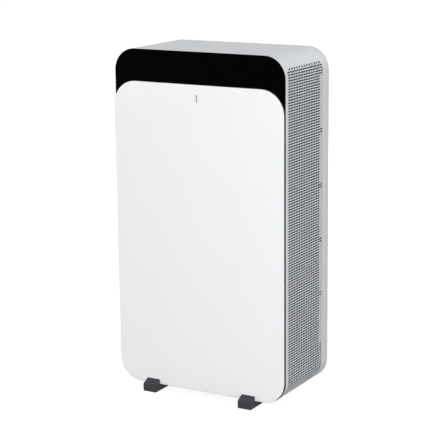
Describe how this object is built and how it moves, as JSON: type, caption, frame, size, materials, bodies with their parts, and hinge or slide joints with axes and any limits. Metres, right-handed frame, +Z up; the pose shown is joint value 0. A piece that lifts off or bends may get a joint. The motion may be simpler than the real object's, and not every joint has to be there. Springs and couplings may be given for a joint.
{
  "type": "dehumidifier",
  "caption": "Tall slim compressor dehumidifier: wrap-around casing with perforated sides, black fascia, proud white front panel, rear intake filter, pull-out water tank, block feet.",
  "frame": {"origin": "on the floor, under the middle of the feet", "axes": "+Z up, -Y out of the front panel, +X to the right seen from the front"},
  "size_m": [0.362, 0.218, 0.664],
  "materials": {
    "casing_paint": "silver-grey powder coat",
    "fascia_gloss": "gloss black",
    "panel_gloss": "gloss white",
    "pad_foam": "foam",
    "lens_plastic": "smoked grey",
    "cover_plastic": "fine texture, silver-grey",
    "screw_steel": "zinc plated",
    "zinc_steel": "galvanised sheet",
    "motor_metal": "die cast",
    "fan_plastic": "moulded, dark grey",
    "fin_aluminium": "stamped fins",
    "copper": "drawn copper",
    "tray_plastic": "moulded, dark grey",
    "rubber_black": "matt",
    "compressor_paint": "satin black",
    "tank_plastic": "smooth, pale grey",
    "handle_plastic": "dark grey",
    "float_foam": "closed-cell foam",
    "magnet_metal": "nickel plated",
    "mesh_plastic": "fine mesh",
    "liner_mesh": "woven dust screen",
    "board_green": "solder resist",
    "can_metal": "drawn can",
    "foot_plastic": "fine texture, charcoal"
  },
  "bodies": {
    "housing": {"casing_wrap": "casing_paint", "side_grille_left": "casing_paint", "side_grille_right": "casing_paint", "side_liners": "liner_mesh", "front_fascia": "fascia_gloss", "front_panel": "panel_gloss", "front_panel_pads": "pad_foam", "status_lens": "lens_plastic", "rear_cover": "cover_plastic", "rear_cover_screws": "screw_steel", "base_pan": "zinc_steel", "lower_deck": "zinc_steel", "upper_deck": "zinc_steel", "motor_plate": "zinc_steel", "fan_shroud": "zinc_steel", "fan_motor": "motor_metal", "motor_screws": "screw_steel", "condenser_fins": "fin_aluminium", "condenser_tube": "copper", "evaporator_fins": "fin_aluminium", "coil_end_plates": "zinc_steel", "evaporator_tube": "copper", "drip_tray": "tray_plastic", "compressor": "compressor_paint", "compressor_plate": "zinc_steel", "compressor_grommets": "rubber_black", "compressor_studs": "screw_steel", "suction_accumulator": "compressor_paint", "suction_link": "copper", "discharge_pipe": "copper", "suction_pipe": "copper", "liquid_pipe": "copper", "filter_drier": "copper", "capillary_tube": "copper", "tank_bay": "tray_plastic", "level_sensor": "tray_plastic", "mains_inlet": "tray_plastic", "control_box": "tray_plastic", "control_box_lid": "tray_plastic", "control_board": "board_green", "run_capacitor": "can_metal", "display_board": "board_green", "humidity_sensor": "tray_plastic", "foot_front_left": "foot_plastic", "foot_front_right": "foot_plastic", "foot_rear_left": "foot_plastic", "foot_rear_right": "foot_plastic", "foot_pads": "rubber_black", "foot_screws": "screw_steel"},
    "fan": {"fan_impeller": "fan_plastic", "fan_shaft": "screw_steel", "hub_nut": "screw_steel"},
    "tank": {"water_tank": "tank_plastic", "tank_lid": "tank_plastic"},
    "handle": {"tank_handle": "handle_plastic"},
    "float": {"tank_float": "float_foam", "float_magnet": "magnet_metal"},
    "filter": {"filter_frame": "cover_plastic", "filter_mesh": "mesh_plastic"},
    "bung": {"drain_bung": "rubber_black"}
  },
  "joints": [
    {"name": "fan_spin", "type": "hinge", "parent": "housing", "child": "fan", "pos_m": [0, -0.052, 0.4135], "axis": [0, 1, 0], "continuous": true},
    {"name": "tank_pull", "type": "slide", "parent": "housing", "child": "tank", "axis": [0, 1, 0], "range_m": [0, 0.2]},
    {"name": "handle_swing", "type": "hinge", "parent": "tank", "child": "handle", "pos_m": [0.0705, 0.0875, 0.204], "axis": [1, 0, 0], "range_deg": [0, 90]},
    {"name": "float_rise", "type": "hinge", "parent": "tank", "child": "float", "pos_m": [0.02, -0.04, 0.2195], "axis": [1, 0, 0], "range_deg": [0, 16]},
    {"name": "filter_pull", "type": "slide", "parent": "housing", "child": "filter", "axis": [0, 1, 0], "range_m": [0, 0.06]},
    {"name": "bung_pull", "type": "slide", "parent": "housing", "child": "bung", "axis": [0, 1, 0], "range_m": [0, 0.03]}
  ]
}
